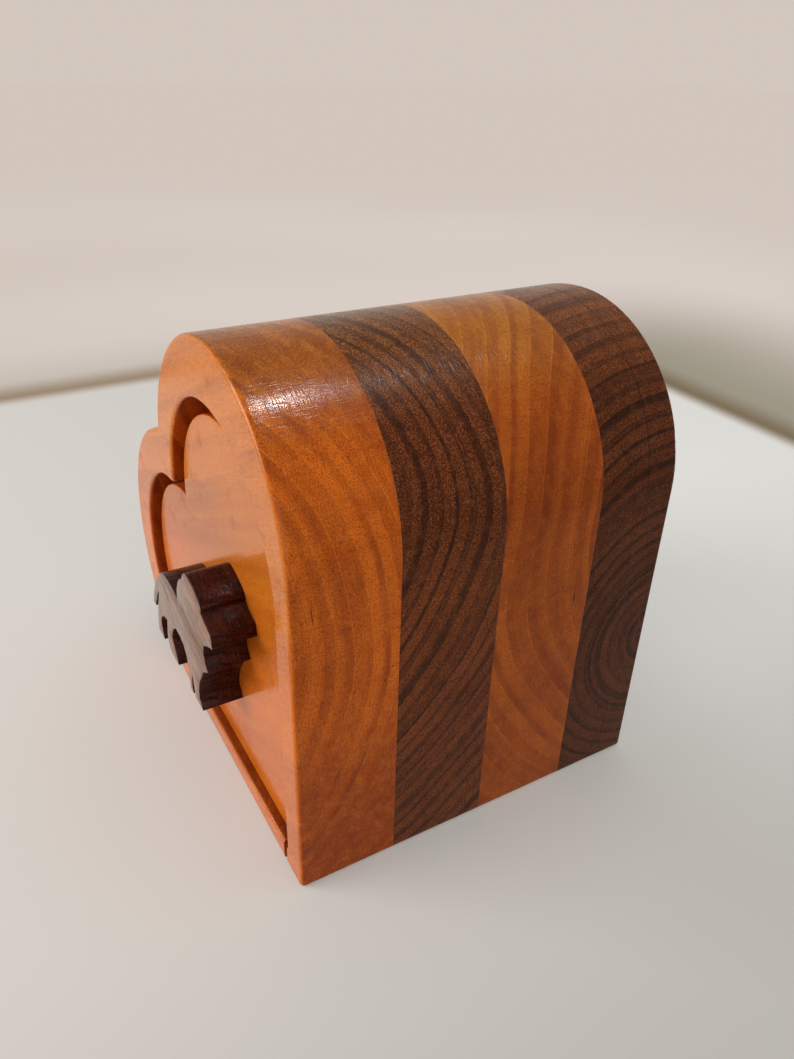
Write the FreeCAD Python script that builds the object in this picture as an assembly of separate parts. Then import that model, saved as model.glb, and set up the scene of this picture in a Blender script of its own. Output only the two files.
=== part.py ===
import FreeCAD, Part
import math
import os

os.makedirs("parts", exist_ok=True)

# A heart-shaped drawer box sawn from a block of four boards. Millimetres, +Z up, front towards -Y.
# The heart lies on one straight side, with its point at the lower right and its lobes up and to the left.
# The origin is on the base, below the middle of the whole box, handle included.

# Body outline
heart_size = 152.4
lobe_outer_radius = 48.0
notch_distance = 105.9
point_rounding = 1.8
notch_rounding = 2.0

# Boards, front to back; the last one is sawn into a ring and the back panel
front_cherry_thickness = 31.1
front_walnut_thickness = 31.8
rear_cherry_thickness = 33.1
rear_walnut_thickness = 17.3
back_panel_thickness = 11.0

# Walls round the drawer's space, and how much tighter its lobes turn than the body's
side_wall = 10.5
base_wall = 8.0
lobe_wall = 15.9
notch_wall = 11.9
outer_arc_inset = 7.5
tongue_rounding = 3.0

# Rounded edges
front_edge_rounding = 1.5
cavity_edge_rounding = 1.4
back_edge_rounding = 1.0

# Saw cuts: the thin slicing cut, and the entry cut in the base with its glued slip
slice_kerf = 1.6
entry_kerf = 2.2
slip_setback = 1.6
slip_lift = 0.4
slip_height = 4.2

# Drawer: slices, walls and room in the body
drawer_front_thickness = 9.5
drawer_back_thickness = 8.0
drawer_wall = 7.0
drawer_side_gap = 0.5
drawer_floor_gap = 0.3
drawer_back_gap = 0.3
drawer_lobe_gap = 5.0
drawer_notch_gap = 3.3
drawer_outer_trim = 1.5
drawer_point_rounding = 1.0
drawer_notch_rounding = 0.9
drawer_edge_rounding = 0.6
drawer_tray_height = 82.0

# Handle, a standing dog: thickness, place of its soles' middle, and its dowels
handle_thickness = 13.2
handle_from_side = 65.5
handle_sole_height = 34.9
dowel_radius = 3.0
dowel_depth_in_front = 6.0
dowel_depth_in_handle = 8.0
dowel_spacing = 27.0
dowel_offset = -1.5
dowel_height = 25.0

# Tilt lock in the drawer front's edge
lock_height = 60.0
lock_bore_radius = 2.5
lock_bore_depth = 20.0
lock_bush_length = 4.0
lock_shank_radius = 1.5
lock_clearance = 0.2
lock_tip_setback = 0.3
lock_travel = 5.0
socket_clearance = 0.5
socket_depth = 5.0

# The dog's outline, in mm from the middle of its soles: each row is one smooth stretch between corners
dog_outline = [
    [(0.7, 33.2), (2.9, 39.3), (6.2, 43.6), (9.5, 45.6)],
    [(9.5, 45.6), (11.2, 48.4), (14.8, 50.3), (19.2, 49.8), (24.4, 47.8), (26.4, 46.2), (26.3, 44.2)],
    [(26.3, 44.2), (29.4, 42.4), (33.6, 41.4)],
    [(33.6, 41.4), (34.2, 36.9)],
    [(34.2, 36.9), (30.4, 35.2), (25.8, 32.4)],
    [(25.8, 32.4), (24.6, 29.4), (25.0, 26.4), (27.0, 23.4)],
    [(27.0, 23.4), (21.3, 19.4)],
    [(21.3, 19.4), (19.6, 16.6), (16.7, 12.7)],
    [(16.7, 12.7), (14.9, 8.8), (13.9, 3.5)],
    [(13.9, 3.5), (15.4, 1.8), (16.2, 0.0)],
    [(16.2, 0.0), (8.6, 0.0)],
    [(8.6, 0.0), (8.7, 4.5), (8.0, 8.6)],
    [(8.0, 8.6), (6.8, 4.5), (7.0, 0.0)],
    [(7.0, 0.0), (3.9, 0.0)],
    [(3.9, 0.0), (4.5, 7.0), (3.8, 12.2), (1.6, 15.8), (-2.0, 17.0), (-6.0, 17.2)],
    [(-6.0, 17.2), (-11.0, 13.0), (-12.5, 9.6), (-11.2, 5.6), (-9.2, 2.4), (-8.8, 0.0)],
    [(-8.8, 0.0), (-17.4, 0.0)],
    [(-17.4, 0.0), (-19.2, 4.4), (-18.4, 9.0), (-17.0, 13.5)],
    [(-17.0, 13.5), (-22.6, 11.4), (-26.0, 7.4), (-25.8, 3.4), (-24.8, 0.0)],
    [(-24.8, 0.0), (-31.4, 0.0)],
    [(-31.4, 0.0), (-30.6, 5.6), (-27.4, 13.2), (-23.2, 21.6)],
    [(-23.2, 21.6), (-27.2, 17.0), (-31.0, 10.6)],
    [(-31.0, 10.6), (-34.0, 10.8)],
    [(-34.0, 10.8), (-31.2, 16.4), (-22.2, 28.0), (-15.2, 33.2), (-9.0, 34.6), (-3.0, 34.4), (0.7, 33.2)],
]

# Places worked out from the sizes
ring_depth = front_cherry_thickness + front_walnut_thickness + rear_cherry_thickness + rear_walnut_thickness
body_depth = ring_depth + back_panel_thickness
recess = 2 * slice_kerf - drawer_back_gap
handle_reach = handle_thickness - recess
side_x = heart_size / 2
front_y = (handle_reach - body_depth) / 2

cavity_x = side_x - side_wall
cavity_size = heart_size - side_wall - lobe_wall
cavity_outer_radius = lobe_outer_radius - outer_arc_inset
cavity_notch = notch_distance - side_wall - notch_wall

drawer_x = cavity_x - drawer_side_gap
drawer_z = base_wall + drawer_floor_gap
drawer_y = front_y + recess
drawer_size = cavity_size - drawer_lobe_gap
drawer_outer_radius = cavity_outer_radius - drawer_outer_trim
drawer_notch = cavity_notch - drawer_notch_gap

lock_y = drawer_y + drawer_front_thickness / 2


def vector(x, y, z):
    return FreeCAD.Vector(x, y, z)


def heart_face(x, y, z, size, outer_radius, notch_at, point_round=0.0, notch_round=0.0):
    """A heart in the XZ plane with its point at x, z: two straight sides, and two arcs on each lobe.

    The outer arc runs from a straight side to the lobe's far end, the inner one on to the notch.
    """
    side = size - outer_radius
    inner_radius = ((notch_at - outer_radius) ** 2 + (size - notch_at) ** 2) / (2 * (size - notch_at))
    centre = (outer_radius, size - inner_radius)
    reach = inner_radius + notch_round
    mean = (centre[0] + centre[1]) / 2
    half = (centre[0] - centre[1]) / 2
    notch = mean + math.sqrt(reach**2 / 2 - half**2)
    slope = ((notch - centre[0]) / reach, (notch - centre[1]) / reach)
    lobe_end = (centre[0] + inner_radius * slope[0], centre[1] + inner_radius * slope[1])
    bend = math.hypot(slope[0], slope[1] + 1)
    inner_mid = (
        centre[0] + inner_radius * slope[0] / bend,
        centre[1] + inner_radius * (slope[1] + 1) / bend,
    )
    eighth = math.sqrt(0.5)
    outer_mid = (outer_radius * (1 - eighth), side + outer_radius * eighth)
    apex = (outer_radius, size)

    def place(left_and_up):
        return vector(x - left_and_up[0], y, z + left_and_up[1])

    def mirrored(left_and_up):
        return (left_and_up[1], left_and_up[0])

    def arc(start, middle, end):
        return Part.Arc(place(start), place(middle), place(end)).toShape()

    edges = [
        Part.LineSegment(place((0, point_round)), place((0, side))).toShape(),
        arc((0, side), outer_mid, apex),
        arc(apex, inner_mid, lobe_end),
    ]
    if notch_round:
        tip = notch - notch_round * eighth
        edges.append(arc(lobe_end, (tip, tip), mirrored(lobe_end)))
    edges += [
        arc(mirrored(lobe_end), mirrored(inner_mid), mirrored(apex)),
        arc(mirrored(apex), mirrored(outer_mid), (side, 0)),
        Part.LineSegment(place((side, 0)), place((point_round, 0))).toShape(),
    ]
    if point_round:
        corner = point_round * (1 - eighth)
        edges.append(arc((point_round, 0), (corner, corner), (0, point_round)))
    return Part.Face(Part.Wire(edges))


def slab(face, thickness):
    return face.extrude(vector(0, thickness, 0))


def body_heart(y):
    return heart_face(
        side_x, y, 0, heart_size, lobe_outer_radius, notch_distance, point_rounding, notch_rounding
    )


def cavity_heart(y):
    return heart_face(
        cavity_x, y, base_wall, cavity_size, cavity_outer_radius, cavity_notch, 0, tongue_rounding
    )


def drawer_heart(y):
    return heart_face(
        drawer_x,
        y,
        drawer_z,
        drawer_size,
        drawer_outer_radius,
        drawer_notch,
        drawer_point_rounding,
        drawer_notch_rounding,
    )


def edges_on(shape, y):
    """The edges of a shape that lie in the plane at y."""
    flat = 1e-4
    return [e for e in shape.Edges if abs(e.BoundBox.YMin - y) < flat and abs(e.BoundBox.YMax - y) < flat]


def entry_cut():
    """The saw's way in, up through the base along the side wall's inner face."""
    below = 1.0
    length = ring_depth + 2 * below
    corner = vector(cavity_x - entry_kerf, front_y - below, -below)
    return Part.makeBox(entry_kerf, length, base_wall + 2 * below, corner)


def ring_band(y, thickness):
    return slab(body_heart(y), thickness).cut(slab(cavity_heart(y), thickness)).cut(entry_cut())


def front_band():
    """The first ring, with its front edges rounded and the lock pin's blind socket in the side wall."""
    block = slab(body_heart(front_y), front_cherry_thickness)
    block = block.makeFillet(front_edge_rounding, edges_on(block, front_y))
    cavity = slab(cavity_heart(front_y), front_cherry_thickness)
    band = block.cut(cavity)
    rim = Part.Wire(cavity_heart(front_y).OuterWire)

    def on_rim(edge):
        corner = Part.Vertex(edge.valueAt(edge.FirstParameter))
        return rim.distToShape(corner)[0] < 1e-4

    rim_edges = [e for e in edges_on(band, front_y) if on_rim(e)]
    band = band.makeFillet(cavity_edge_rounding, rim_edges).cut(entry_cut())
    socket = Part.makeCylinder(
        lock_shank_radius + socket_clearance,
        socket_depth,
        vector(cavity_x, lock_y, lock_height),
        vector(1, 0, 0),
    )
    return band.cut(socket)


def back_panel():
    panel = slab(body_heart(front_y + ring_depth), back_panel_thickness)
    return panel.makeFillet(back_edge_rounding, edges_on(panel, front_y + body_depth))


def kerf_slip():
    corner = vector(cavity_x - entry_kerf, front_y + slip_setback, slip_lift)
    return Part.makeBox(entry_kerf, ring_depth - slip_setback, slip_height, corner)


def dowel_hole(x, start, depth):
    return Part.makeCylinder(
        dowel_radius, depth, vector(x, start, handle_sole_height + dowel_height), vector(0, 1, 0)
    )


def dowel_places():
    middle = side_x - handle_from_side + dowel_offset
    return [middle - dowel_spacing / 2, middle + dowel_spacing / 2]


def lock_bore():
    return Part.makeCylinder(
        lock_bore_radius, lock_bore_depth, vector(drawer_x, lock_y, lock_height), vector(-1, 0, 0)
    )


def drawer_front():
    front = slab(drawer_heart(drawer_y), drawer_front_thickness)
    front = front.makeFillet(drawer_edge_rounding, edges_on(front, drawer_y)).cut(lock_bore())
    for x in dowel_places():
        front = front.cut(dowel_hole(x, drawer_y, dowel_depth_in_front))
    return front


def drawer_ring(y, thickness):
    """A board of the drawer's core: hollow, with its top lobe cut away so that the tray opens upwards."""
    hollow = heart_face(
        drawer_x - drawer_wall,
        y,
        drawer_z + drawer_wall,
        drawer_size - 2 * drawer_wall,
        drawer_outer_radius - drawer_wall,
        drawer_notch - 2 * drawer_wall,
    )
    beyond = 1.0
    top = Part.makeBox(
        drawer_notch + beyond,
        thickness + 2 * beyond,
        drawer_size,
        vector(drawer_x - drawer_notch, y - beyond, drawer_z + drawer_tray_height),
    )
    return slab(drawer_heart(y), thickness).cut(slab(hollow, thickness)).cut(top)


def dog_handle():
    """The dog sawn from a flat board, standing out from the drawer front."""
    x = side_x - handle_from_side
    y = drawer_y - handle_thickness
    edges = []
    for stretch in dog_outline:
        points = [vector(x + along, y, handle_sole_height + up) for along, up in stretch]
        if len(points) == 2:
            edges.append(Part.LineSegment(points[0], points[1]).toShape())
        else:
            curve = Part.BSplineCurve()
            curve.interpolate(points)
            edges.append(curve.toShape())
    dog = slab(Part.Face(Part.Wire(edges)), handle_thickness)
    for place in dowel_places():
        dog = dog.cut(dowel_hole(place, drawer_y - dowel_depth_in_handle, dowel_depth_in_handle))
    return dog


def handle_dowels():
    length = dowel_depth_in_handle + dowel_depth_in_front
    return Part.Compound([dowel_hole(x, drawer_y - dowel_depth_in_handle, length) for x in dowel_places()])


def lock_bush():
    axis = vector(-1, 0, 0)
    start = vector(drawer_x, lock_y, lock_height)
    bore = Part.makeCylinder(lock_shank_radius + lock_clearance, lock_bush_length, start, axis)
    return Part.makeCylinder(lock_bore_radius, lock_bush_length, start, axis).cut(bore)


def lock_pin():
    """A headed pin at rest, its tip just inside the drawer front's edge."""
    axis = vector(-1, 0, 0)
    shank_length = lock_bush_length + lock_travel - lock_tip_setback
    head_length = lock_bore_depth - lock_bush_length - lock_travel - lock_clearance
    tip = vector(drawer_x - lock_tip_setback, lock_y, lock_height)
    head_start = vector(drawer_x - lock_tip_setback - shank_length, lock_y, lock_height)
    shank = Part.makeCylinder(lock_shank_radius, shank_length, tip, axis)
    head = Part.makeCylinder(lock_bore_radius - lock_clearance, head_length, head_start, axis)
    return shank.fuse(head).removeSplitter()


nodes = {"front_cherry_band": front_band()}
band_y = front_y + front_cherry_thickness
for name, thickness in [
    ("front_walnut_band", front_walnut_thickness),
    ("rear_cherry_band", rear_cherry_thickness),
    ("rear_walnut_band", rear_walnut_thickness),
]:
    nodes[name] = ring_band(band_y, thickness)
    band_y += thickness
nodes["back_panel"] = back_panel()
nodes["kerf_slip"] = kerf_slip()

nodes["drawer_front"] = drawer_front()
ring_y = drawer_y + drawer_front_thickness
for name, thickness in [
    ("drawer_cherry_front_ring", front_cherry_thickness - drawer_front_thickness - slice_kerf),
    ("drawer_walnut_front_ring", front_walnut_thickness),
    ("drawer_cherry_rear_ring", rear_cherry_thickness),
    ("drawer_walnut_rear_ring", rear_walnut_thickness - drawer_back_thickness - slice_kerf),
]:
    nodes[name] = drawer_ring(ring_y, thickness)
    ring_y += thickness
nodes["drawer_back"] = slab(drawer_heart(ring_y), drawer_back_thickness)
nodes["dog_handle"] = dog_handle()
nodes["handle_dowels"] = handle_dowels()
nodes["lock_bush"] = lock_bush()
nodes["lock_pin"] = lock_pin()

for name, shape in nodes.items():
    shape.exportStep("parts/" + name + ".step")
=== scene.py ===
import math

import bmesh
import bpy
from mathutils import Matrix, Vector


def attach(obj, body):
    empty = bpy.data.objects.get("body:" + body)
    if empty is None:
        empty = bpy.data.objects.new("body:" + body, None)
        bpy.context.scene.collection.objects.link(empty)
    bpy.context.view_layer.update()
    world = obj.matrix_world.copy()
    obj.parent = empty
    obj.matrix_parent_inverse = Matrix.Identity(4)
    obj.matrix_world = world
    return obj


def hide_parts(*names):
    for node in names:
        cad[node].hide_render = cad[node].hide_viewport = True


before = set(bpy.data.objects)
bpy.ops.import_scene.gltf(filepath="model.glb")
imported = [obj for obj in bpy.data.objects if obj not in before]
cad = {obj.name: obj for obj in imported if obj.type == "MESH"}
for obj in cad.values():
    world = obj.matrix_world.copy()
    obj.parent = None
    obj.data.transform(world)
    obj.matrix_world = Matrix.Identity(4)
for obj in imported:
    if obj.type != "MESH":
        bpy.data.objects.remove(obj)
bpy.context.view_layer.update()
scene = bpy.context.scene
print("frame loaded with", len(cad), "pieces")


# small helpers for shader and geometry trees
def addNode(tree, kind, **settings):
    made = tree.nodes.new(kind)
    for key, value in settings.items():
        setattr(made, key, value)
    return made


def feed(tree, socket, value):
    if isinstance(value, bpy.types.NodeSocket):
        tree.links.new(value, socket)
    elif isinstance(value, (tuple, list)) and socket.type == "RGBA" and len(value) == 3:
        socket.default_value = (*value, 1.0)
    else:
        socket.default_value = value


def calc(tree, operation, first, second=0.0, third=0.0, clamp=False):
    made = addNode(tree, "ShaderNodeMath", operation=operation, use_clamp=clamp)
    for socket, value in zip(made.inputs, (first, second, third)):
        feed(tree, socket, value)
    return made.outputs[0]


def vectorCalc(tree, operation, first, second=(0.0, 0.0, 0.0)):
    made = addNode(tree, "ShaderNodeVectorMath", operation=operation)
    feed(tree, made.inputs[0], first)
    feed(tree, made.inputs[1], second)
    return made.outputs["Value" if operation in ("LENGTH", "DOT_PRODUCT") else "Vector"]


def axes(tree, vector):
    made = addNode(tree, "ShaderNodeSeparateXYZ")
    feed(tree, made.inputs[0], vector)
    return made.outputs


def stretch(tree, vector, along, side, up):
    return vectorCalc(tree, "MULTIPLY", vector, (along, side, up))


def noise(tree, vector, scale, detail=2.0, rough=0.5, colour=False):
    made = addNode(tree, "ShaderNodeTexNoise")
    feed(tree, made.inputs["Vector"], vector)
    made.inputs["Scale"].default_value = scale
    made.inputs["Detail"].default_value = detail
    made.inputs["Roughness"].default_value = rough
    return made.outputs["Color" if colour else "Fac"]


def lineNoise(tree, value):
    made = addNode(tree, "ShaderNodeTexNoise", noise_dimensions="1D")
    feed(tree, made.inputs["W"], value)
    return made.outputs["Fac"]


def remap(tree, value, low, high, newLow=0.0, newHigh=1.0):
    made = addNode(tree, "ShaderNodeMapRange", interpolation_type="SMOOTHSTEP")
    for socket, number in zip(made.inputs, (value, low, high, newLow, newHigh)):
        feed(tree, socket, number)
    return made.outputs[0]


def blendColour(tree, amount, first, second, mode="MIX"):
    made = addNode(tree, "ShaderNodeMix", data_type="RGBA", blend_type=mode)
    feed(tree, made.inputs[0], amount)
    feed(tree, made.inputs[6], first)
    feed(tree, made.inputs[7], second)
    return made.outputs[2]


def freshMaterial(name):
    material = bpy.data.materials.new(name)
    material.use_nodes = True
    tree = material.node_tree
    tree.nodes.clear()
    shader = addNode(tree, "ShaderNodeBsdfPrincipled")
    output = addNode(tree, "ShaderNodeOutputMaterial")
    tree.links.new(shader.outputs[0], output.inputs[0])
    return material, tree, shader


def shownRays(tree):
    # what the camera sees by itself, in a gloss or through glass
    seen = addNode(tree, "ShaderNodeLightPath")
    shown = calc(tree, "MAXIMUM", seen.outputs["Is Camera Ray"], seen.outputs["Is Glossy Ray"])
    return calc(tree, "MAXIMUM", shown, seen.outputs["Is Transmission Ray"])


def addBump(tree, shader, height, strength, distance, easedEdge=0.0):
    made = addNode(tree, "ShaderNodeBump")
    if easedEdge:
        eased = addNode(tree, "ShaderNodeBevel", samples=6)
        eased.inputs["Radius"].default_value = easedEdge
        tree.links.new(eased.outputs[0], made.inputs["Normal"])
    made.inputs["Strength"].default_value = strength
    made.inputs["Distance"].default_value = distance
    feed(tree, made.inputs["Height"], height)
    tree.links.new(made.outputs[0], shader.inputs["Normal"])


# wood is solid here: growth rings lie round the pith line of the log that each board came from,
# so every face of a board shows the same rings, whichever way it was sawn
grainNoise = {  # how close each pattern lies along and across, its detail and its roughness
    "wander": ((3.0, 15.0, 15.0), 1.0, 0.4),
    "ragged": ((25.0, 330.0, 330.0), 2.0, 0.6),
    "fading": ((6.0, 34.0, 34.0), 2.0, 0.5),
    "cloud": ((5.0, 42.0, 42.0), 2.0, 0.5),
    "mottle": ((22.0, 150.0, 150.0), 2.0, 0.6),
    "streak": ((16.0, 300.0, 300.0), 3.0, 0.6),
    "rounds": ((1500.0, 150.0, 1500.0), 2.0, 0.6),
    "lengths": ((110.0, 2300.0, 110.0), 2.0, 0.6),
    "dents": ((620.0, 620.0, 620.0), 2.0, 0.6),
}
grainRange = {  # where a pattern starts to show, and where it shows in full
    "fading": (0.3, 0.68),
    "cloud": (0.38, 0.7),
    "mottle": (0.42, 0.68),
    "streak": (0.42, 0.75),
    "rounds": (0.5, 0.78),
    "lengths": (0.5, 0.76),
}
faceRange = {"side": (0.9, 0.4), "crown": (0.6, 0.97), "inner": (0.0, -0.012)}  # how far a face turns
yearRange = {"edge": (0.84, 0.97), "poor": (0.42, 0.66)}  # the last of a season, and lean years
seamLook = {"rise": (0.09, 0.125, 0.1, 0.5), "width": (0.0006, 0.0001)}  # opens towards the top
markLook = {"edge": (1.1, 0.4, 0.0, 0.8), "toneDrift": 0.04}
oilLook = {"poreRough": 0.05, "poreSink": -0.15, "scratchSink": -1.0, "sink": 0.0001}


def grain(tree, vector, kind, colour=False):
    size, detail, rough = grainNoise[kind]
    return noise(tree, stretch(tree, vector, *size), 1.0, detail, rough, colour)


def patches(tree, vector, kind, least=0.0, most=1.0):
    return remap(tree, grain(tree, vector, kind), *grainRange[kind], least, most)


def shake(tree, pattern, amount):
    centred = vectorCalc(tree, "SUBTRACT", pattern, (0.5, 0.5, 0.5))
    return vectorCalc(tree, "MULTIPLY", centred, (0.0, amount, amount))


def logSpace(tree, look, place):
    # x runs along the grain, y and z lie across the log
    turn = addNode(tree, "ShaderNodeMapping", vector_type="POINT")
    turn.inputs["Rotation"].default_value = (0.0, math.radians(look["grainDeg"]), 0.0)
    turn.inputs["Location"].default_value = (0.0, -look["pith"][0], -look["pith"][1])
    feed(tree, turn.inputs["Vector"], place)
    return turn.outputs[0]


def faceMasks(tree, look, place, normal):
    # faces across the grain, sides against front and back, the lower front, the top with its painted
    # light and shade, and walls of the drawer's space with their painted shade
    lean = math.radians(look["grainDeg"])
    along = look.get("facing", (math.cos(lean), 0.0, math.sin(lean)))
    ending = calc(tree, "ABSOLUTE", vectorCalc(tree, "DOT_PRODUCT", normal, along))
    _, forward, upward = axes(tree, normal)
    outward = vectorCalc(tree, "SUBTRACT", place, look["middle"])
    inward = vectorCalc(tree, "DOT_PRODUCT", normal, outward)
    sides = remap(tree, calc(tree, "ABSOLUTE", forward), *faceRange["side"])
    fronts = calc(tree, "SUBTRACT", 1.0, sides)
    low = remap(tree, axes(tree, place)[2], *look["lowFrontRise"])
    return {
        "end": remap(tree, ending, *look["endRange"]),
        "side": sides,
        "front": fronts,
        "heart": calc(tree, "MULTIPLY", fronts, low),
        "crown": remap(tree, upward, *faceRange["crown"]),
        "inner": remap(tree, inward, *faceRange["inner"]),
    }


def growthRings(tree, look, log, sides):
    # rings wander slowly, and their edges are ragged
    wander = shake(tree, grain(tree, log, "wander", colour=True), look["wander"])
    ragged = shake(tree, grain(tree, log, "ragged", colour=True), look["ragged"])
    bent = vectorCalc(tree, "ADD", log, vectorCalc(tree, "ADD", wander, ragged))
    radius = vectorCalc(tree, "LENGTH", stretch(tree, bent, 0.0, 1.0, 1.0))
    years = calc(tree, "POWER", calc(tree, "DIVIDE", radius, look["ringGap"]), look["ringPower"])
    weather = lineNoise(tree, calc(tree, "MULTIPLY", years, look["weatherRate"]))
    years = calc(tree, "MULTIPLY_ADD", weather, look["yearUneven"], years)
    chance = addNode(tree, "ShaderNodeTexWhiteNoise", noise_dimensions="1D")
    feed(tree, chance.inputs["W"], calc(tree, "FLOOR", years))
    spread = look["yearSpread"]
    depth = calc(tree, "MULTIPLY_ADD", chance.outputs[0], spread, 1.0 - spread)
    depth = calc(tree, "MULTIPLY", depth, patches(tree, log, "fading", look["fade"]))
    showing = remap(tree, sides, 0.0, 1.0, look["frontRings"], look["ringDepth"])
    depth = calc(tree, "MULTIPLY", depth, showing)
    season = calc(tree, "FRACT", years)
    grown, ripe, stop = look["season"]
    late = calc(tree, "MULTIPLY", remap(tree, season, grown, ripe), remap(tree, season, 1.0, stop))
    edge = remap(tree, season, *yearRange["edge"], 0.0, look["edgeLine"])
    run = lineNoise(tree, calc(tree, "MULTIPLY", years, look["spellRate"]))
    spell = remap(tree, run, *yearRange["poor"], 0.0, look["spell"])  # a few poor years together
    return {
        "late": calc(tree, "MULTIPLY", late, depth, clamp=True),
        "edge": calc(tree, "MULTIPLY", edge, depth),
        "spell": calc(tree, "MULTIPLY", spell, sides),
    }


def figuredColour(tree, look, log, height, rings, sides):
    colour = blendColour(tree, rings["late"], look["early"], look["late"])
    colour = blendColour(tree, rings["spell"], colour, look["deep"])
    cloud = grain(tree, log, "cloud")
    clouded = remap(tree, cloud, *grainRange["cloud"], 0.0, look["cloud"])
    colour = blendColour(tree, clouded, colour, look["deep"])
    colour = blendColour(tree, rings["edge"], colour, look["pale"])
    drawn = calc(tree, "MULTIPLY_ADD", cloud, markLook["toneDrift"], height)
    for low, high, amount in look.get("tones", []):  # darker towards the given heights, on the sides of the board only
        tone = calc(tree, "MULTIPLY", remap(tree, drawn, low, high, 0.0, amount), sides)
        colour = blendColour(tree, tone, colour, look["deep"])
    mottled = blendColour(tree, 1.0, colour, look["mottleTint"], "MULTIPLY")
    colour = blendColour(tree, patches(tree, log, "mottle", 0.0, look["mottle"]), colour, mottled)
    return blendColour(tree, patches(tree, log, "streak", 0.0, look["streak"]), colour, look["pale"])


def markedColour(tree, look, place, colour):
    _, depth, height = axes(tree, place)
    if "glueLine" in look:
        away = calc(tree, "ABSOLUTE", calc(tree, "SUBTRACT", depth, look["glueLine"]))
        gaping = remap(tree, height, *seamLook["rise"])
        seam = calc(tree, "MULTIPLY", remap(tree, away, *seamLook["width"]), gaping)
        colour = blendColour(tree, seam, colour, look["late"])
    for spot, size, tilt in look.get("marks", []):  # gum lines and pin knots
        reach = addNode(tree, "ShaderNodeMapping", vector_type="TEXTURE")
        feed(tree, reach.inputs["Vector"], place)
        reach.inputs["Location"].default_value = spot
        reach.inputs["Rotation"].default_value = (math.radians(tilt), 0.0, 0.0)
        reach.inputs["Scale"].default_value = size
        away = vectorCalc(tree, "LENGTH", reach.outputs[0])
        colour = blendColour(tree, remap(tree, away, *markLook["edge"]), colour, look["mark"])
    return colour


def boardWood(look):
    material, tree, shader = freshMaterial(look["name"])
    coords = addNode(tree, "ShaderNodeTexCoord")
    place = coords.outputs["Object"]
    height = axes(tree, place)[2]
    log = logSpace(tree, look, place)
    faces = faceMasks(tree, look, place, coords.outputs["Normal"])
    rings = growthRings(tree, look, log, faces["side"])
    colour = figuredColour(tree, look, log, height, rings, faces["side"])

    # pores are open on the sides, and filled with oil on the front
    across = look["fibreAcross"]
    drawnOut = stretch(tree, log, look["fibre"], across, across)
    fibre = noise(tree, drawnOut, scale=1.0, detail=1.0, rough=0.6)
    unfilled = remap(tree, faces["side"], 0.0, 1.0, look["frontPores"], 1.0)
    pores = calc(tree, "MULTIPLY", remap(tree, fibre, *look["poreRange"]), unfilled)
    rising = remap(tree, height, *look["fleckRise"])
    flecks = calc(tree, "MULTIPLY", remap(tree, fibre, *look["fleckRange"]), rising)
    flecks = calc(tree, "MULTIPLY", flecks, calc(tree, "SUBTRACT", 1.0, rings["late"]))
    colour = blendColour(tree, flecks, colour, look["pale"])
    sunk = calc(tree, "MULTIPLY", pores, look["poreDepth"])
    colour = blendColour(tree, sunk, colour, look["pore"])
    colour = markedColour(tree, look, place, colour)

    # end grain drinks more oil and darkens, the lower front turns redder, the top gets painted light
    # and shade, and the walls of the drawer's space get painted shade
    for face in ("end", "front", "heart", "crown", "inner"):
        tinted = blendColour(tree, 1.0, colour, look[face + "Tint"], "MULTIPLY")
        colour = blendColour(tree, faces[face], colour, tinted)

    # sanding lines cross each other under the oil
    scratch = calc(tree, "MAXIMUM", patches(tree, place, "rounds"), patches(tree, place, "lengths"))
    ground = calc(tree, "MULTIPLY", calc(tree, "MULTIPLY", scratch, look["scratch"]), unfilled)
    feed(tree, shader.inputs["Base Color"], blendColour(tree, ground, colour, look["pore"]))
    gloss = calc(tree, "MULTIPLY_ADD", scratch, look["glossSpread"], look["gloss"])
    rough = calc(tree, "MULTIPLY_ADD", pores, oilLook["poreRough"], gloss)
    feed(tree, shader.inputs["Roughness"], rough)
    surface = calc(tree, "MULTIPLY", pores, oilLook["poreSink"])
    surface = calc(tree, "MULTIPLY_ADD", scratch, oilLook["scratchSink"], surface)
    surface = calc(tree, "MULTIPLY_ADD", grain(tree, place, "dents"), look["dents"], surface)
    addBump(tree, shader, surface, look["relief"], oilLook["sink"], look["easedEdge"])
    feed(tree, shader.inputs["IOR"], remap(tree, faces["side"], 0.0, 1.0, *look["oilIor"]))
    return material


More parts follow.
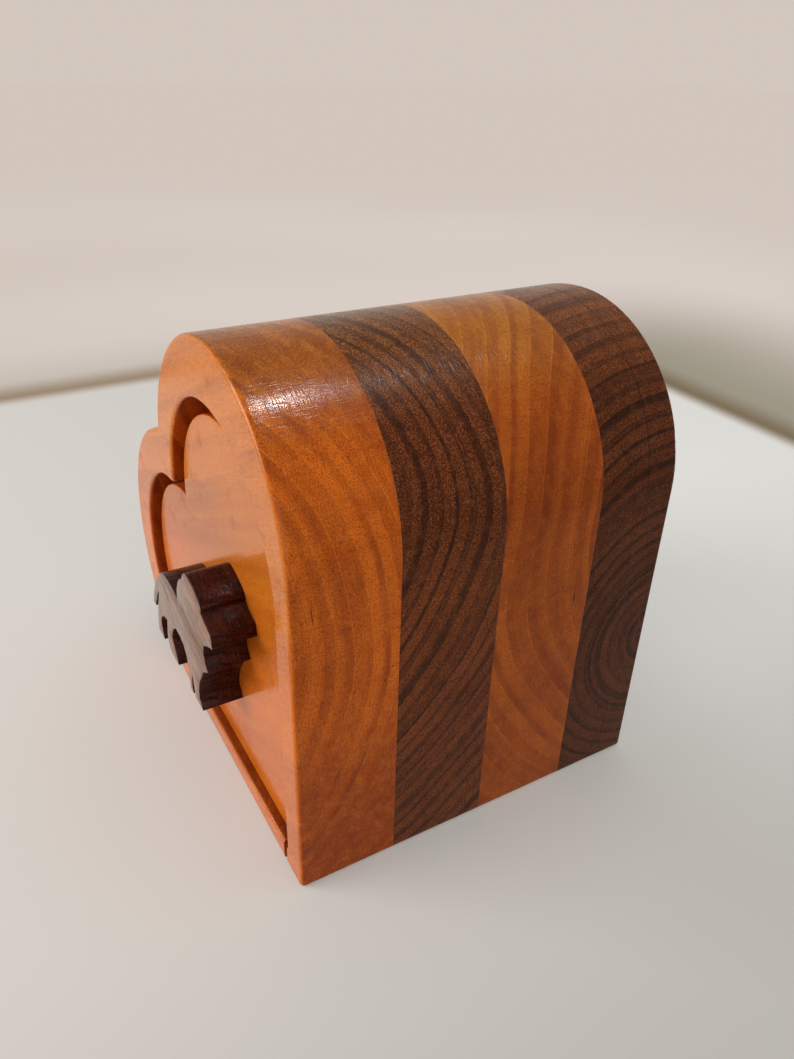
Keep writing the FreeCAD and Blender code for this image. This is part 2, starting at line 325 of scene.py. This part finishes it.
# cherry: soft seasons, a warm glow and faint streaks
cherryLook = {
    "grainDeg": 26.0,
    "middle": (0.01, 0.0, 0.07),
    "ringPower": 1.0,
    "wander": 0.013,
    "ragged": 0.0006,
    "season": (0.0, 0.80, 0.86),
    "weatherRate": 0.45,
    "yearSpread": 0.6,
    "yearUneven": 0.9,
    "spellRate": 0.3,
    "spell": 0.4,
    "fade": 0.35,
    "ringDepth": 0.9,
    "frontRings": 0.3,
    "edgeLine": 0.5,
    "early": (0.66, 0.177, 0.0145),
    "late": (0.25, 0.046, 0.004),
    "deep": (0.25, 0.046, 0.004),
    "pale": (0.70, 0.240, 0.036),
    "endTint": (0.94, 0.74, 0.52),
    "endRange": (0.15, 0.95),
    "frontTint": (0.94, 0.955, 0.80),
    # a redder tint on the lower part of the front faces
    "heartTint": (1.06, 0.90, 0.90),
    "lowFrontRise": (0.105, 0.055),
    # painted light and shade on the top
    "crownTint": (0.80, 1.03, 0.88),
    # painted shade on the walls of the drawer's space
    "innerTint": (0.72, 0.45, 0.55),
    "cloud": 0.45,
    "mottle": 0.4,
    "mottleTint": (0.74, 0.62, 0.52),
    "streak": 0.25,
    "fibre": 420.0,
    "fibreAcross": 2600.0,
    "fleckRange": (0.47, 0.34),
    "fleckRise": (0.0, 0.15, 0.18, 0.30),
    "pore": (0.15, 0.024, 0.003),
    "poreRange": (0.50, 0.64),
    "poreDepth": 0.52,
    "frontPores": 0.4,
    "scratch": 0.36,
    "mark": (0.055, 0.013, 0.004),
    "gloss": 0.12,
    "glossSpread": 0.20,
    "dents": 0.0,
    "relief": 0.26,
    "easedEdge": 0.0005,
    "oilIor": (1.33, 1.22),
}

# walnut: dark late wood and open pores
walnutLook = {
    "grainDeg": 26.0,
    "middle": (0.01, 0.0, 0.07),
    "ringPower": 0.94,
    "wander": 0.012,
    "ragged": 0.0007,
    "season": (0.42, 0.88, 0.95),
    "weatherRate": 0.45,
    "yearSpread": 0.45,
    "yearUneven": 1.0,
    "spellRate": 0.22,
    "spell": 0.4,
    "fade": 0.8,
    "ringDepth": 1.0,
    "frontRings": 0.7,
    "edgeLine": 0.15,
    "early": (0.205, 0.058, 0.0155),
    "late": (0.013, 0.0035, 0.0018),
    "deep": (0.050, 0.013, 0.005),
    "pale": (0.33, 0.125, 0.045),
    "endTint": (0.86, 0.68, 0.52),
    "endRange": (0.15, 0.95),
    "frontTint": (1.0, 1.0, 1.0),
    "heartTint": (1.0, 1.0, 1.0),
    "lowFrontRise": (0.105, 0.055),
    # painted light on the top
    "crownTint": (1.25, 1.45, 0.95),
    # painted shade on the walls of the drawer's space
    "innerTint": (0.72, 0.55, 0.6),
    "cloud": 0.3,
    "mottle": 0.3,
    "mottleTint": (0.66, 0.60, 0.56),
    "streak": 0.2,
    "fibre": 300.0,
    "fibreAcross": 2400.0,
    "fleckRange": (0.47, 0.36),
    "fleckRise": (0.04, 0.13, 0.30, 0.50),
    "pore": (0.016, 0.005, 0.0025),
    "poreRange": (0.50, 0.62),
    "poreDepth": 0.58,
    "frontPores": 1.0,
    "scratch": 0.10,
    "gloss": 0.13,
    "glossSpread": 0.20,
    "dents": 0.0,
    "relief": 0.32,
    "easedEdge": 0.0005,
    "oilIor": (1.30, 1.21),
}

# each board of the block: the pith's place across the log, and what was sawn from that board
boards = [
    dict(
        cherryLook,
        name="cherryFrontBoard",
        pith=(-0.1237, 0.0468),
        ringGap=0.0062,
        tones=[(0.095, 0.035, 0.8), (0.150, 0.172, 0.7)],
        marks=[
            ((0.0762, -0.0509, 0.0980), (0.002, 0.00022, 0.0040), 4.0),
            ((0.0762, -0.0368, 0.0438), (0.002, 0.00020, 0.0042), -20.0),
            ((0.0762, -0.0449, 0.0409), (0.002, 0.00020, 0.0028), -21.0),
            ((0.0762, -0.0303, 0.0697), (0.002, 0.0004, 0.0004), 0.0),
            ((0.0762, -0.0280, 0.0738), (0.002, 0.0004, 0.0004), 0.0),
        ],
        pieces=["front_cherry_band"],
        drawerPieces=["drawer_front", "drawer_cherry_front_ring"],
    ),
    dict(
        walnutLook,
        name="walnutFrontBoard",
        pith=(-0.0770, 0.0798),
        ringGap=0.0037,
        tones=[(0.095, 0.140, 0.50)],
        pieces=["front_walnut_band"],
        drawerPieces=["drawer_walnut_front_ring"],
    ),
    dict(
        cherryLook,
        name="cherryRearBoard",
        pith=(0.1050, 0.0533),
        ringGap=0.0066,
        early=(0.42, 0.118, 0.011),
        late=(0.18, 0.033, 0.003),
        deep=(0.18, 0.033, 0.003),
        pale=(0.52, 0.170, 0.027),
        # painted light on the top
        crownTint=(1.08, 1.50, 1.05),
        marks=[((0.0762, 0.0340, 0.0755), (0.002, 0.0004, 0.0026), 0.0)],
        pieces=["rear_cherry_band"],
        drawerPieces=["drawer_cherry_rear_ring"],
    ),
    dict(
        walnutLook,
        name="walnutRearBoard",
        pith=(0.0700, 0.0113),
        ringGap=0.0037,
        early=(0.120, 0.037, 0.0135),
        late=(0.013, 0.0045, 0.0025),
        deep=(0.038, 0.012, 0.006),
        pale=(0.22, 0.085, 0.036),
        # painted light on the top
        crownTint=(1.5, 1.55, 1.1),
        glueLine=0.0563,
        oilIor=(1.30, 1.18),
        pieces=["rear_walnut_band", "back_panel"],
        drawerPieces=["drawer_walnut_rear_ring", "drawer_back"],
    ),
]
for board in boards:
    wood = boardWood(board)
    # the drawer's copy of each board puts the painted shade of the drawer's space on its top faces, in
    # place of the top's painted light and shade
    shaded = boardWood(dict(board, name=board["name"] + "Drawer", crownTint=board["innerTint"]))
    for piece in board["pieces"]:
        cad[piece].material_slots[0].material = wood
    for piece in board["drawerPieces"]:
        cad[piece].material_slots[0].material = shaded
print("boards finished:", len(boards))

# the slip in the saw cut, and the dowels behind the pull
smallWoods = {
    "kerf_slip": dict(
        cherryLook,
        name="slipWood",
        pith=(0.02, -0.05),
        ringGap=0.003,
        grainDeg=90.0,
        early=(0.46, 0.20, 0.12),
        pale=(0.56, 0.30, 0.2),
        deep=(0.34, 0.10, 0.05),
        gloss=0.45,
    ),
    "handle_dowels": dict(
        cherryLook,
        name="dowelWood",
        pith=(0.0, 0.02),
        ringGap=0.002,
        grainDeg=0.0,
        early=(0.55, 0.42, 0.26),
        late=(0.42, 0.30, 0.17),
        deep=(0.45, 0.33, 0.20),
        pale=(0.62, 0.50, 0.33),
        gloss=0.55,
    ),
}
for piece, look in smallWoods.items():
    cad[piece].material_slots[0].material = boardWood(look)


# pin and bush, turned on a lathe
latheLook = {
    "lines": (9000.0, 500.0, 500.0),
    "lineRough": 0.2,
    "lineRelief": 0.2,
    "lineDepth": 0.00005,
    "stain": 180.0,
    "stainRange": (0.35, 0.7),
}
metals = {
    "lock_bush": {
        "name": "turnedBrass",
        "bright": (0.78, 0.55, 0.22),
        "dull": (0.60, 0.38, 0.13),
        "roughness": 0.22,
    },
    "lock_pin": {
        "name": "turnedSteel",
        "bright": (0.62, 0.62, 0.63),
        "dull": (0.45, 0.45, 0.46),
        "roughness": 0.25,
    },
}


def turnedMetal(look):
    material, tree, shader = freshMaterial(look["name"])
    place = addNode(tree, "ShaderNodeTexCoord").outputs["Object"]
    lines = noise(tree, stretch(tree, place, *latheLook["lines"]), scale=1.0, detail=2.0, rough=0.6)
    stain = noise(tree, place, latheLook["stain"], detail=3.0, rough=0.6)
    stained = remap(tree, stain, *latheLook["stainRange"])
    feed(tree, shader.inputs["Base Color"], blendColour(tree, stained, look["bright"], look["dull"]))
    rough = calc(tree, "MULTIPLY_ADD", lines, latheLook["lineRough"], look["roughness"])
    feed(tree, shader.inputs["Roughness"], rough)
    addBump(tree, shader, lines, latheLook["lineRelief"], latheLook["lineDepth"])
    shader.inputs["Metallic"].default_value = 1.0
    return material


for piece, look in metals.items():
    cad[piece].material_slots[0].material = turnedMetal(look)
print("slip, dowels, pin and bush finished")

# the dog pull: sawn round from the outline of its front, so every ridge of the cut runs
# straight through to the drawer
dogLook = {
    "step": 0.0003,
    "ridgePitch": 900.0,
    "ridgeDepth": 0.00035,
    "easedEdge": 0.00035,
    "easedRows": 2,
    "seed": 4.0,
    "smoothAngle": 38.0,
    "weldGap": 1e-6,
    "frontFacing": -0.999,
    "frontSlack": 1e-5,
}
dogWood = dict(
    walnutLook,
    name="dogWalnut",
    grainDeg=-12.0,
    pith=(-0.0900, -0.0600),
    ringGap=0.0017,
    ragged=0.0006,
    wander=0.004,
    season=(0.45, 0.86, 0.93),
    yearUneven=0.9,
    spell=0.0,
    ringDepth=0.9,
    frontRings=1.0,
    early=(0.330, 0.150, 0.085),
    late=(0.030, 0.012, 0.007),
    deep=(0.19, 0.074, 0.042),
    pale=(0.38, 0.185, 0.110),
    fibre=130.0,
    fleckRise=(0.0, 0.1, 0.25, 0.25),
    pore=(0.045, 0.018, 0.009),
    poreDepth=0.85,
    mottle=0.9,
    mottleTint=(0.45, 0.40, 0.38),
    endTint=(0.160, 0.047, 0.028),
    facing=(0.0, 1.0, 0.0),
    endRange=(0.9, 0.4),
    crownTint=(1.0, 1.0, 1.0),
    innerTint=(1.0, 1.0, 1.0),
    gloss=0.08,
    glossSpread=0.10,
    dents=3.5,
    relief=0.7,
    easedEdge=0.0009,
    oilIor=(1.30, 1.20),
)


def sawnTree():
    tree = bpy.data.node_groups.new("sawnPull", "GeometryNodeTree")
    face = tree.interface
    face.new_socket("Outline", in_out="INPUT", socket_type="NodeSocketGeometry")
    for label in ("Step", "Thickness", "Ridge Pitch", "Ridge Depth", "Seed"):
        face.new_socket(label, in_out="INPUT", socket_type="NodeSocketFloat")
    face.new_socket("Wood", in_out="INPUT", socket_type="NodeSocketMaterial")
    face.new_socket("Pull", in_out="OUTPUT", socket_type="NodeSocketGeometry")
    start = addNode(tree, "NodeGroupInput").outputs
    finish = addNode(tree, "NodeGroupOutput")
    curve = addNode(tree, "GeometryNodeMeshToCurve")
    feed(tree, curve.inputs["Mesh"], start["Outline"])
    even = addNode(tree, "GeometryNodeResampleCurve", mode="LENGTH")
    feed(tree, even.inputs["Curve"], curve.outputs[0])
    feed(tree, even.inputs["Length"], start["Step"])
    place = addNode(tree, "GeometryNodeInputPosition").outputs[0]
    teeth = addNode(tree, "ShaderNodeTexNoise", noise_dimensions="4D")
    feed(tree, teeth.inputs["Vector"], place)
    feed(tree, teeth.inputs["W"], start["Seed"])
    feed(tree, teeth.inputs["Scale"], start["Ridge Pitch"])
    teeth.inputs["Detail"].default_value = 1.0
    push = vectorCalc(tree, "SUBTRACT", teeth.outputs["Color"], (0.5, 0.5, 0.5))
    push = vectorCalc(tree, "MULTIPLY", push, (1.0, 0.0, 1.0))
    deep = addNode(tree, "ShaderNodeVectorMath", operation="SCALE")
    feed(tree, deep.inputs[0], push)
    feed(tree, deep.inputs["Scale"], start["Ridge Depth"])
    ridged = addNode(tree, "GeometryNodeSetPosition")
    feed(tree, ridged.inputs["Geometry"], even.outputs[0])
    feed(tree, ridged.inputs["Offset"], deep.outputs[0])
    flat = addNode(tree, "GeometryNodeCurveToMesh")
    combine = addNode(tree, "ShaderNodeCombineXYZ")
    feed(tree, combine.inputs[1], start["Thickness"])
    solid = addNode(tree, "GeometryNodeExtrudeMesh", mode="EDGES")
    feed(tree, flat.inputs["Curve"], ridged.outputs[0])
    feed(tree, solid.inputs["Mesh"], flat.outputs[0])
    feed(tree, solid.inputs["Offset"], combine.outputs[0])
    solid.inputs["Offset Scale"].default_value = 1.0
    real = addNode(tree, "GeometryNodeRealizeInstances")
    feed(tree, real.inputs[0], solid.outputs["Mesh"])
    paint = addNode(tree, "GeometryNodeSetMaterial")
    feed(tree, paint.inputs["Geometry"], real.outputs[0])
    feed(tree, paint.inputs["Material"], start["Wood"])
    feed(tree, finish.inputs[0], paint.outputs[0])
    return tree


def frontOutline(source, look):
    # the sharp outer rim of the front face, as bare edges
    shape = bmesh.new()
    shape.from_mesh(source.data)
    bmesh.ops.remove_doubles(shape, verts=shape.verts, dist=look["weldGap"])
    front = min(v.co.y for v in shape.verts)
    back = max(v.co.y for v in shape.verts)
    shape.normal_update()
    facing = [f for f in shape.faces if f.normal.y < look["frontFacing"]]
    faces = [f for f in facing if f.calc_center_median().y < front + look["frontSlack"]]
    rim = [e for e in shape.edges if sum(f in faces for f in e.link_faces) == 1]
    index = {}
    points = []
    for edge in rim:
        for vert in edge.verts:
            if vert.index not in index:
                index[vert.index] = len(points)
                points.append(tuple(vert.co))
    edges = [tuple(index[v.index] for v in e.verts) for e in rim]
    shape.free()
    mesh = bpy.data.meshes.new("dogOutline")
    mesh.from_pydata(points, edges, [])
    return mesh, back - front


def dogPull(look, wood):
    outline, thickness = frontOutline(cad["dog_handle"], look)
    dog = bpy.data.objects.new("dogPull", outline)
    scene.collection.objects.link(dog)
    tree = sawnTree()
    sawn = dog.modifiers.new("sawn", "NODES")
    sawn.node_group = tree
    values = {
        "Step": look["step"],
        "Thickness": thickness,
        "Ridge Pitch": look["ridgePitch"],
        "Ridge Depth": look["ridgeDepth"],
        "Seed": look["seed"],
        "Wood": wood,
    }
    for item in tree.interface.items_tree:
        if item.in_out == "INPUT" and item.name in values:
            sawn[item.identifier] = values[item.name]
    ready = dog.evaluated_get(bpy.context.evaluated_depsgraph_get())
    mesh = bpy.data.meshes.new_from_object(ready)
    dog.modifiers.clear()
    dog.data = mesh
    bpy.data.meshes.remove(outline)

    # the two faces, then the edges eased with paper
    shape = bmesh.new()
    shape.from_mesh(mesh)
    bmesh.ops.remove_doubles(shape, verts=shape.verts, dist=look["weldGap"])
    bmesh.ops.holes_fill(shape, edges=[e for e in shape.edges if e.is_boundary], sides=0)
    bmesh.ops.recalc_face_normals(shape, faces=shape.faces)
    rims = [e for e in shape.edges if any(len(f.verts) > 4 for f in e.link_faces)]
    bmesh.ops.bevel(
        shape,
        geom=rims,
        offset=look["easedEdge"],
        segments=look["easedRows"],
        profile=0.5,
        affect="EDGES",
        clamp_overlap=True,
    )
    bmesh.ops.triangulate(shape, faces=[f for f in shape.faces if len(f.verts) > 4])
    shape.to_mesh(mesh)
    shape.free()
    for face in mesh.polygons:
        face.use_smooth = True
    mesh.set_sharp_from_angle(angle=math.radians(look["smoothAngle"]))
    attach(dog, "drawer")
    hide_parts("dog_handle")
    print("dog pull sawn:", len(mesh.polygons), "faces")


dogPull(dogLook, boardWood(dogWood))

# floor: a pale cloth, with a warmer cloth beyond its two edges
floorLook = {
    "size": 8.0,
    "cloth": (0.592, 0.576, 0.546),
    # painted shade on the camera's side
    "shade": (0.450, 0.443, 0.410),
    "shadeFrom": (0.04, 0.20),
    # painted light behind the box
    "lit": (0.690, 0.690, 0.668),
    "litFrom": (0.05, 0.14),
    "backCloth": (0.64, 0.56, 0.505),
    # painted light on the folds of the warmer cloth
    "backFoldLight": (0.70, 0.62, 0.57),
    "foldsUntil": (1.3, 0.25),
    "backShade": (0.34, 0.305, 0.235),
    "backShadeDepth": (0.30, 0.04),
    "backShadeFrom": (-0.48, -0.22),
    # a painted shadow along the table's edge, darker on the right
    "shadowBand": (0.40, 0.30, 0.21),
    "shadowBandShade": (0.20, 0.155, 0.095),
    "tableEdge": (-0.349, 0.339),
    "softEdge": 0.02,
    "fadeFrom": (0.7, 1.6),
    "foldShape": (1.0, 0.55, 1.0),
    "foldScale": 2.2,
    "foldRange": (0.3, 0.7),
    "shadowBandWidth": (0.05, 0.015),
    "weave": 900.0,
    "weaveRelief": 0.05,
    "weaveDepth": 0.0004,
    "rough": 0.85,
    "roughSpread": 0.1,
    "sheen": 0.1,
}


def clothColour(tree, look, across, deep):
    # painted light behind the box, painted shade on the camera's side
    lit = remap(tree, deep, *look["litFrom"])
    shade = remap(tree, across, *look["shadeFrom"])
    return blendColour(tree, shade, blendColour(tree, lit, look["cloth"], look["lit"]), look["shade"])


def hungColour(tree, look, place, across, past):
    # the warmer cloth: broad folds painted as lighter patches, painted shade on the right, and a
    # painted shadow along the table's edge
    waves = stretch(tree, place, *look["foldShape"])
    fold = remap(tree, noise(tree, waves, look["foldScale"], detail=1.0, rough=0.4), *look["foldRange"])
    fold = calc(tree, "MULTIPLY", fold, remap(tree, past, *look["foldsUntil"]))
    hung = blendColour(tree, fold, look["backCloth"], look["backFoldLight"])
    dim = remap(tree, across, *look["backShadeFrom"])
    hush = calc(tree, "MULTIPLY", dim, remap(tree, past, *look["backShadeDepth"]))
    hung = blendColour(tree, hush, hung, look["backShade"])
    shadowBand = blendColour(tree, dim, look["shadowBand"], look["shadowBandShade"])
    return blendColour(tree, remap(tree, past, *look["shadowBandWidth"]), hung, shadowBand)


def paleFloor(look):
    half = look["size"] / 2
    mesh = bpy.data.meshes.new("paleFloor")
    corners = [(-half, -half, 0), (half, -half, 0), (half, half, 0), (-half, half, 0)]
    mesh.from_pydata(corners, [], [(0, 1, 2, 3)])
    floor = bpy.data.objects.new("paleFloor", mesh)
    scene.collection.objects.link(floor)
    material, tree, shader = freshMaterial("paleCloth")
    place = addNode(tree, "ShaderNodeTexCoord").outputs["Object"]
    across, deep, _ = axes(tree, place)
    leftEdge, backEdge = look["tableEdge"]
    left = remap(tree, across, leftEdge, leftEdge - look["softEdge"])
    back = remap(tree, deep, backEdge, backEdge + look["softEdge"])
    beyond = calc(tree, "MAXIMUM", left, back)
    pastLeft = calc(tree, "SUBTRACT", leftEdge, across)
    past = calc(tree, "MAXIMUM", pastLeft, calc(tree, "SUBTRACT", deep, backEdge))
    far = remap(tree, vectorCalc(tree, "LENGTH", place), *look["fadeFrom"])
    colour = blendColour(tree, beyond, clothColour(tree, look, across, deep), look["backCloth"])
    feed(tree, shader.inputs["Base Color"], colour)
    weave = noise(tree, place, look["weave"], detail=2.0, rough=0.6)
    rough = calc(tree, "MULTIPLY_ADD", weave, look["roughSpread"], look["rough"])
    feed(tree, shader.inputs["Roughness"], rough)
    shader.inputs["Specular IOR Level"].default_value = look["sheen"]
    addBump(tree, shader, weave, look["weaveRelief"], look["weaveDepth"])
    # the backdrop beyond the table's edges glows for the camera and in reflections, carrying its
    # painted folds and shade
    glow = addNode(tree, "ShaderNodeEmission")
    hung = hungColour(tree, look, place, across, past)
    feed(tree, glow.inputs[0], blendColour(tree, far, hung, look["backCloth"]))
    backdrop = calc(tree, "MAXIMUM", beyond, far)
    both = addNode(tree, "ShaderNodeMixShader")
    feed(tree, both.inputs[0], calc(tree, "MULTIPLY", backdrop, shownRays(tree)))
    tree.links.new(shader.outputs[0], both.inputs[1])
    tree.links.new(glow.outputs[0], both.inputs[2])
    tree.links.new(both.outputs[0], tree.nodes["Material Output"].inputs[0])
    mesh.materials.append(material)


paleFloor(floorLook)

# light: a dim pale room, a soft lamp overhead with a small one for the gleam, a window in front
# and a softer one by the camera
roomLook = {"colour": (1.0, 0.96, 0.92), "strength": 0.43, "backCloth": (0.65, 0.57, 0.515)}
lampLooks = [
    {
        "name": "overheadLamp",
        "place": (0.05, 0.36, 1.27),
        "aim": (0.05, -0.04, 0.145),
        "size": (1.0, 0.8),
        "power": 1.9,
    },
    {
        "name": "overheadGlint",  # for the gleam on the shoulder, with no hard shadow of its own
        "place": (0.05, 0.36, 1.27),
        "aim": (0.05, -0.04, 0.145),
        "size": (0.17, 0.048),
        "power": 5.4,
        "shadow": False,
    },
    {
        "name": "frontWindow",
        "place": (-0.50, -1.35, 0.60),
        "aim": (0.0, 0.0, 0.08),
        "size": (1.0, 0.8),
        "power": 16.9,
    },
    {
        "name": "sideWindow",
        "place": (1.45, -0.60, 0.40),
        "aim": (0.0, 0.0, 0.08),
        "size": (1.5, 1.1),
        "power": 8.6,
    },
]


def paleRoom(look):
    world = bpy.data.worlds.new("paleRoom")
    scene.world = world
    world.use_nodes = True
    tree = world.node_tree
    room = tree.nodes["Background"]
    room.inputs[0].default_value = (*look["colour"], 1.0)
    room.inputs[1].default_value = look["strength"]
    cloth = addNode(tree, "ShaderNodeBackground")
    cloth.inputs[0].default_value = (*look["backCloth"], 1.0)
    either = addNode(tree, "ShaderNodeMixShader")
    feed(tree, either.inputs[0], shownRays(tree))
    tree.links.new(room.outputs[0], either.inputs[1])
    tree.links.new(cloth.outputs[0], either.inputs[2])
    tree.links.new(either.outputs[0], tree.nodes["World Output"].inputs[0])


def hangLamp(look):
    data = bpy.data.lights.new(look["name"], "AREA")
    data.shape = "RECTANGLE"
    data.size, data.size_y = look["size"]
    data.energy = look["power"]
    data.use_shadow = look.get("shadow", True)
    lamp = bpy.data.objects.new(look["name"], data)
    lamp.location = look["place"]
    aim = Vector(look["aim"]) - Vector(look["place"])
    lamp.rotation_euler = aim.to_track_quat("-Z", "Y").to_euler()
    lamp.visible_camera = False
    scene.collection.objects.link(lamp)


paleRoom(roomLook)
for look in lampLooks:
    hangLamp(look)

# camera at the photograph's place: a phone held close, a little above the box
cameraLook = {
    "place": (0.22803, -0.11735, 0.21968),
    "azimuth": 59.474,
    "elevation": 30.469,
    "roll": 1.616,
    "focalPixels": 846.1,
    "imageHeight": 1059,
    "sensor": 36.0,
    "nearest": 0.005,
}


def placeCamera(look):
    data = bpy.data.cameras.new("photoCamera")
    data.sensor_fit = "VERTICAL"
    data.sensor_height = look["sensor"]
    data.sensor_width = look["sensor"]
    data.lens = look["focalPixels"] / look["imageHeight"] * look["sensor"]
    data.clip_start = look["nearest"]
    camera = bpy.data.objects.new("photoCamera", data)
    scene.collection.objects.link(camera)
    az, el, roll = (math.radians(look[k]) for k in ("azimuth", "elevation", "roll"))
    ahead = Vector((-math.sin(az) * math.cos(el), math.cos(az) * math.cos(el), -math.sin(el)))
    right = ahead.cross(Vector((0, 0, 1))).normalized()
    up = right.cross(ahead)
    tiltedRight = right * math.cos(roll) + up * math.sin(roll)
    tiltedUp = up * math.cos(roll) - right * math.sin(roll)
    turn = Matrix((tiltedRight, tiltedUp, -ahead)).transposed().to_4x4()
    camera.matrix_world = Matrix.Translation(look["place"]) @ turn
    scene.camera = camera


placeCamera(cameraLook)
scene.view_settings.view_transform = "Standard"
print("floor, light and camera set")
